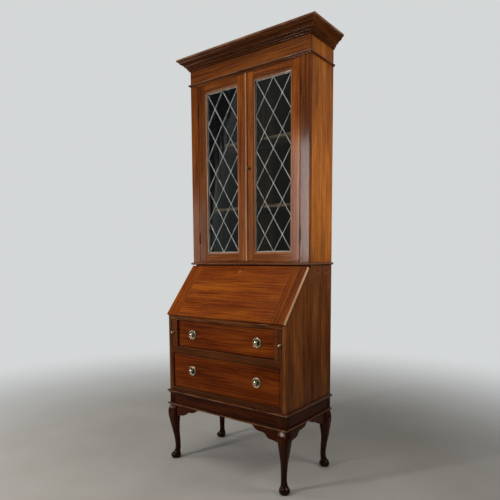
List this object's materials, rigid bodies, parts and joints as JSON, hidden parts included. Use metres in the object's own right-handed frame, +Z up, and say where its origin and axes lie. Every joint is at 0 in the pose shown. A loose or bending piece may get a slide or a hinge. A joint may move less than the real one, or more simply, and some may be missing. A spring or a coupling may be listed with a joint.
{
  "type": "secretary desk",
  "caption": "Oak bureau bookcase: a fall-front writing desk with drawers and pull-out supports on a cabriole stand, under a bookcase with leaded glass doors.",
  "frame": {"origin": "on the floor under the centre of the object's box", "axes": "+Z up, +Y towards the back, +X to the right seen from the front"},
  "size_m": [0.8172, 0.4206, 2.06],
  "materials": {
    "stained_oak": "stained and satin polished",
    "dark_stained_oak": "dark stained and satin polished",
    "red_brown_oak": "red-brown stain, satin polished",
    "unpolished_oak": "bare inside wood",
    "aged_brass": "aged, softly polished",
    "leaded_glass": "clear quarries in lead cames"
  },
  "bodies": {
    "carcass": {"leg_front_left": "dark_stained_oak", "leg_front_right": "dark_stained_oak", "leg_back_left": "dark_stained_oak", "leg_back_right": "dark_stained_oak", "stand_rail_front": "stained_oak", "stand_rail_back": "stained_oak", "stand_rail_left": "stained_oak", "stand_rail_right": "stained_oak", "knee_bracket_left": "dark_stained_oak", "knee_bracket_right": "dark_stained_oak", "stand_bead": "dark_stained_oak", "base_moulding": "dark_stained_oak", "bureau_side_left": "stained_oak", "bureau_side_right": "stained_oak", "bureau_bottom": "stained_oak", "bureau_top": "stained_oak", "bureau_back": "unpolished_oak", "writing_bed": "stained_oak", "drawer_rail": "stained_oak", "loper_divider_left": "stained_oak", "loper_divider_right": "stained_oak", "fall_hinge_left": "aged_brass", "fall_hinge_right": "aged_brass", "pigeonholes": "unpolished_oak", "bookcase_side_left": "stained_oak", "bookcase_side_right": "stained_oak", "bookcase_bottom": "stained_oak", "bookcase_top": "stained_oak", "bookcase_back": "unpolished_oak", "face_frame": "stained_oak", "frieze_board": "stained_oak", "cornice": "dark_stained_oak", "astragal": "stained_oak", "waist_moulding": "dark_stained_oak", "lower_shelf": "unpolished_oak", "upper_shelf": "unpolished_oak"},
    "fall": {"fall_panel": "stained_oak", "fall_clamp_left": "stained_oak", "fall_clamp_right": "stained_oak", "fall_lock": "aged_brass"},
    "door_left": {"door_frame_left": "stained_oak", "leaded_light_left": "leaded_glass"},
    "door_right": {"door_frame_right": "stained_oak", "leaded_light_right": "leaded_glass", "meeting_bead": "stained_oak", "door_knob": "aged_brass"},
    "upper_drawer": {"upper_drawer_front": "red_brown_oak", "upper_drawer_box": "unpolished_oak", "upper_drawer_handle_left": "aged_brass", "upper_drawer_handle_right": "aged_brass"},
    "lower_drawer": {"lower_drawer_front": "red_brown_oak", "lower_drawer_box": "unpolished_oak", "lower_drawer_handle_left": "aged_brass", "lower_drawer_handle_right": "aged_brass"},
    "loper_left": {"loper_left": "red_brown_oak", "loper_knob_left": "aged_brass"},
    "loper_right": {"loper_right": "red_brown_oak", "loper_knob_right": "aged_brass"},
    "small_drawer_left": {"small_drawer_left": "unpolished_oak"},
    "small_drawer_right": {"small_drawer_right": "unpolished_oak"}
  },
  "joints": [
    {"name": "fall_hinge", "type": "hinge", "parent": "carcass", "child": "fall", "pos_m": [0, -0.1962, 0.7505], "axis": [1, 0, 0], "range_deg": [0, 129.29]},
    {"name": "door_hinge_left", "type": "hinge", "parent": "carcass", "child": "door_left", "pos_m": [-0.3084, -0.0092, 1.4735], "axis": [0, 0, -1], "range_deg": [0, 110]},
    {"name": "door_hinge_right", "type": "hinge", "parent": "carcass", "child": "door_right", "pos_m": [0.3084, -0.0092, 1.4735], "axis": [0, 0, 1], "range_deg": [0, 110]},
    {"name": "upper_drawer_slide", "type": "slide", "parent": "carcass", "child": "upper_drawer", "axis": [0, -1, 0], "range_m": [0, 0.29]},
    {"name": "lower_drawer_slide", "type": "slide", "parent": "carcass", "child": "lower_drawer", "axis": [0, -1, 0], "range_m": [0, 0.29]},
    {"name": "loper_slide_left", "type": "slide", "parent": "carcass", "child": "loper_left", "axis": [0, -1, 0], "range_m": [0, 0.26]},
    {"name": "loper_slide_right", "type": "slide", "parent": "carcass", "child": "loper_right", "axis": [0, -1, 0], "range_m": [0, 0.26]},
    {"name": "small_drawer_slide_left", "type": "slide", "parent": "carcass", "child": "small_drawer_left", "axis": [0, -1, 0], "range_m": [0, 0.13]},
    {"name": "small_drawer_slide_right", "type": "slide", "parent": "carcass", "child": "small_drawer_right", "axis": [0, -1, 0], "range_m": [0, 0.13]}
  ]
}
